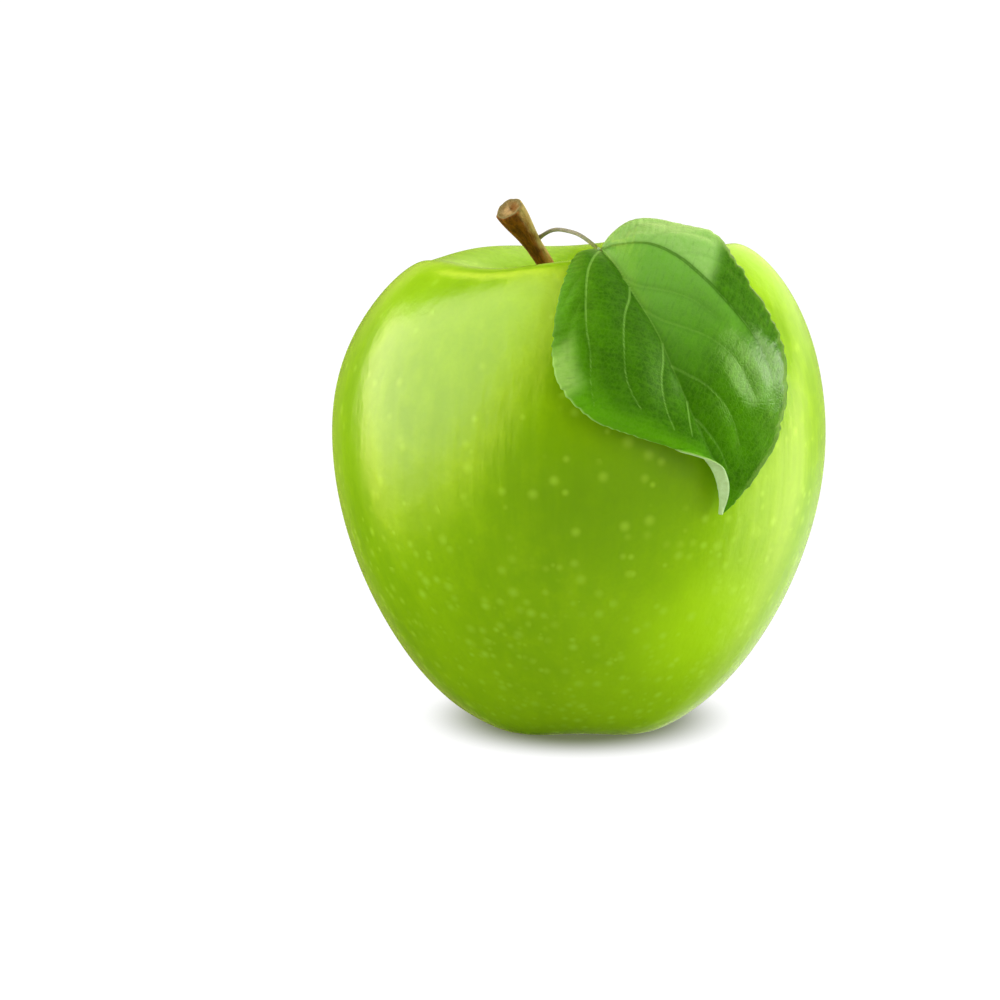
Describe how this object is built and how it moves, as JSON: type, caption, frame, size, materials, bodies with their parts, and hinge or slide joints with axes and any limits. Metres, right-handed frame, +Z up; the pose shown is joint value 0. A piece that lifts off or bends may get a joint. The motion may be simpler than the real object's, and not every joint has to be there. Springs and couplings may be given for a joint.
{
  "type": "green apple",
  "caption": "Conical green apple standing on its base, with a woody stem, a leaf on a thin stalk laid over its shoulder, and a dried calyx underneath.",
  "frame": {"origin": "on the supporting surface, under the middle of the whole object's bounding box", "axes": "+Z up along the core of the fruit, from the calyx to the stem; -Y towards the side with the leaf, and +X to the right of it"},
  "size_m": [0.0798, 0.0824, 0.0857],
  "materials": {
    "skin": "glossy",
    "bark": "matte",
    "stalk": "satin",
    "leaf": "satin",
    "sepal": "matte"
  },
  "bodies": {
    "root": {"fruit": "skin", "stem": "bark", "leaf_stalk": "stalk", "leaf_blade": "leaf", "calyx": "sepal"}
  },
  "joints": []
}
